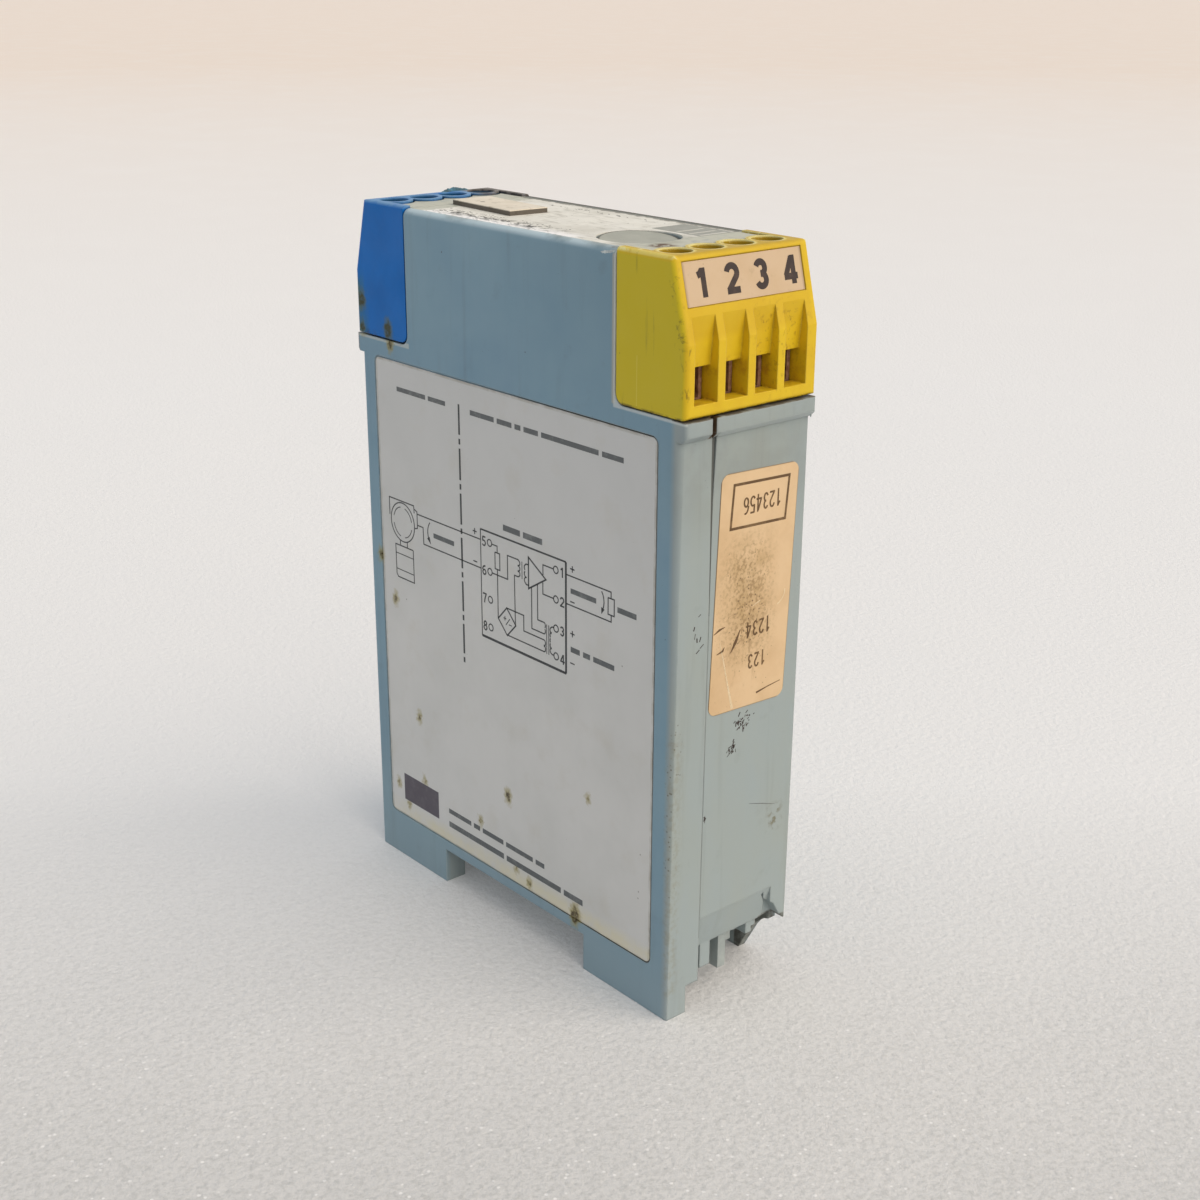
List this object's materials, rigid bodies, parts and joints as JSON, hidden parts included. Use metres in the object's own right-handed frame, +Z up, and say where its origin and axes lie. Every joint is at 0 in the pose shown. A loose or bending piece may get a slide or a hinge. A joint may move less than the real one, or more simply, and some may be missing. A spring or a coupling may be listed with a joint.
{
  "type": "rail-mounted repeater power supply",
  "caption": "Slim two-shell rail-mounted repeater power supply with a blue and a yellow screw terminal block, a sprung rail latch and a circuit board inside; worn, one foot broken.",
  "frame": {"origin": "on the floor under the middle of the case, between the feet", "axes": "+Z up, from the feet to the top; +X along the mounting side's long direction, to the yellow terminal block; the side with the printed label faces -Y"},
  "size_m": [0.0788, 0.025, 0.1151],
  "materials": {
    "case_plastic": "grey moulded plastic, worn and dirty",
    "blue_plastic": "blue moulded plastic",
    "yellow_plastic": "yellow moulded plastic, grimy at the edges",
    "screw_steel": "plated steel, tarnished",
    "clamp_steel": "plated steel, rusty",
    "contact_brass": "tinned brass",
    "latch_plastic": "grey moulded plastic",
    "spring_steel": "spring wire",
    "board_laminate": "green laminate",
    "ferrite": "ferrite",
    "bobbin_plastic": "moulded plastic",
    "copper_wire": "enamelled copper wire",
    "can_sleeve": "shrink sleeve",
    "film_capacitor_plastic": "boxed film capacitor",
    "chip_plastic": "moulded epoxy",
    "fuse_block_plastic": "potted block",
    "resistor_enamel": "enamel",
    "cap_plastic": "grey moulded plastic, dirty rim",
    "tag_plastic": "aged cream plastic",
    "top_film": "printed film, dirty edges",
    "side_film": "printed film, spotted",
    "marker_film": "aged cream strip",
    "sticker_foil": "creased foil, scratched"
  },
  "bodies": {
    "case": {"near_shell": "case_plastic", "far_shell": "case_plastic", "blue_terminal_block": "blue_plastic", "yellow_terminal_block": "yellow_plastic", "blue_terminal_screws": "screw_steel", "yellow_terminal_screws": "screw_steel", "blue_clamp_cages": "clamp_steel", "yellow_clamp_cages": "clamp_steel", "blue_contact_tags": "contact_brass", "yellow_contact_tags": "contact_brass", "latch_spring": "spring_steel", "circuit_board": "board_laminate", "power_transformer_core": "ferrite", "power_transformer_bobbin": "bobbin_plastic", "power_transformer_winding": "copper_wire", "signal_transformer_core": "ferrite", "signal_transformer_windings": "copper_wire", "electrolytic_capacitors": "can_sleeve", "film_capacitors": "film_capacitor_plastic", "amplifier_chips": "chip_plastic", "pass_transistors": "chip_plastic", "barrier_fuse": "fuse_block_plastic", "barrier_diodes": "chip_plastic", "bridge_diodes": "chip_plastic", "resistors": "resistor_enamel", "round_cap": "cap_plastic", "tag_plate": "tag_plastic", "top_label": "top_film", "side_label": "side_film", "marker_label": "marker_film", "test_sticker": "sticker_foil"},
    "latch": {"rail_latch": "latch_plastic"}
  },
  "joints": [
    {"name": "rail_latch_slide", "type": "slide", "parent": "case", "child": "latch", "axis": [1, 0, 0], "range_m": [0, 0.0025], "stiffness_N_per_m": 800, "springref_m": -0.003, "deforming": ["latch_spring"]}
  ]
}
